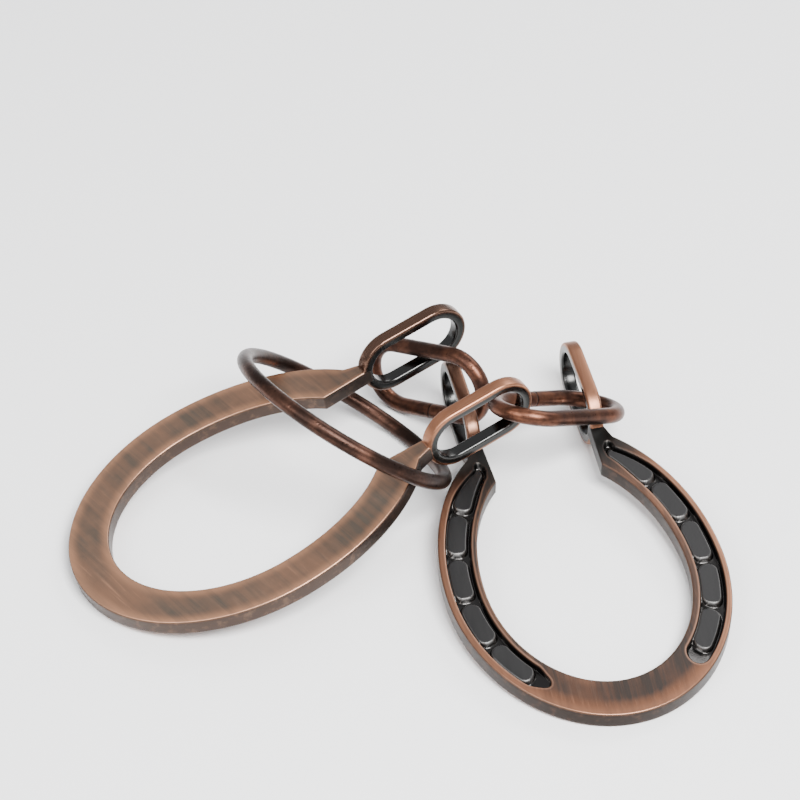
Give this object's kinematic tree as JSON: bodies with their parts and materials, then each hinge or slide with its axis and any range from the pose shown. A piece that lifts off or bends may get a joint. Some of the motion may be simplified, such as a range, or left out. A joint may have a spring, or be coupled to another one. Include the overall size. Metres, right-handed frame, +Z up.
{
  "type": "horseshoe disentanglement puzzle",
  "caption": "Antique-copper metal ring disentanglement puzzle: cast horseshoes joined at their eyes by short wire links, with a loose ring threaded over one horseshoe.",
  "frame": {"origin": "centre of the footprint, on the table top that the set lies on", "axes": "+Z up from the table; +X along the longest side, from the left horseshoe's toe towards the right horseshoe; +Y away from the front, towards the far link"},
  "size_m": [0.159, 0.1189, 0.0428],
  "materials": {
    "antique_copper": "cast zinc alloy with an antique copper plating, cross-brushed on the flat face, blackened in the hollows",
    "antique_copper_grooved": "cast zinc alloy with an antique copper plating, brushed rims and toe, dark grooves and pads",
    "bronzed_wire_far": "round steel wire, dark copper plating, worn brighter on the bends",
    "bronzed_wire_near": "round steel wire, dark copper plating, worn brighter on the bends",
    "bronzed_wire_ring": "round steel wire, dark copper plating, tumbled and slightly rough"
  },
  "bodies": {
    "right_shoe": {"right_horseshoe": "antique_copper_grooved"},
    "left_shoe": {"left_horseshoe": "antique_copper"},
    "far_link": {"far_link": "bronzed_wire_far"},
    "near_link": {"near_link": "bronzed_wire_near"},
    "ring": {"loose_ring": "bronzed_wire_ring"}
  },
  "joints": [
    {"name": "far_link_swing", "type": "hinge", "parent": "right_shoe", "child": "far_link", "pos_m": [0.01617, 0.03853, 0.00628], "axis": [-0.9998, 0, 0.0217], "range_deg": [0, 15]},
    {"name": "near_link_swing", "type": "hinge", "parent": "right_shoe", "child": "near_link", "pos_m": [0.04687, 0.03853, 0.00561], "axis": [-0.9998, 0, 0.0217], "range_deg": [0, 15]},
    {"name": "left_shoe_swing", "type": "hinge", "parent": "far_link", "child": "left_shoe", "pos_m": [0.00701, 0.04853, 0.02275], "axis": [-0.6206, 0.7804, -0.0765], "range_deg": [0, 8]},
    {"name": "ring_swing", "type": "hinge", "parent": "left_shoe", "child": "ring", "pos_m": [-0.02779, 0.04583, 0.01737], "axis": [0.6253, -0.7796, 0.0353], "range_deg": [-15, 0]}
  ],
  "couplings": [
    {"joint": "near_link_swing", "follows": "far_link_swing", "ratio": 1}
  ]
}
